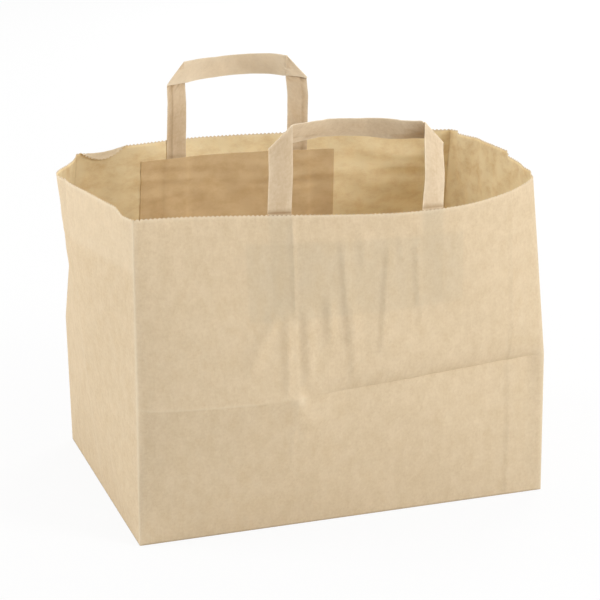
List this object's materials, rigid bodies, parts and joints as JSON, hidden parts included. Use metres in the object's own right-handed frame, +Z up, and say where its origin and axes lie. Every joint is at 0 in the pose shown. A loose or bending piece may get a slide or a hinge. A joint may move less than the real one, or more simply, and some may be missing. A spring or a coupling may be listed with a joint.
{
  "type": "paper carrier bag",
  "caption": "Block-bottom kraft paper carrier bag standing open, with gusseted sides and flat folded paper handles glued inside under paper patches; holds and carries take-away food",
  "frame": {"origin": "middle of the bottom rectangle, on the underside", "axes": "+X along the width of the front and back panels to the right seen from the front, +Y from the front panel to the back panel, +Z up"},
  "size_m": [0.3486, 0.2547, 0.3078],
  "materials": {
    "kraft_bag": "matte brown kraft paper, uncoated",
    "kraft_strip": "matte brown kraft paper, folded strip",
    "kraft_patch": "matte brown kraft paper, glued patch"
  },
  "bodies": {
    "root": {"bag_body": "kraft_bag", "front_handle": "kraft_strip", "back_handle": "kraft_strip", "front_patch": "kraft_patch", "back_patch": "kraft_patch"}
  },
  "joints": []
}
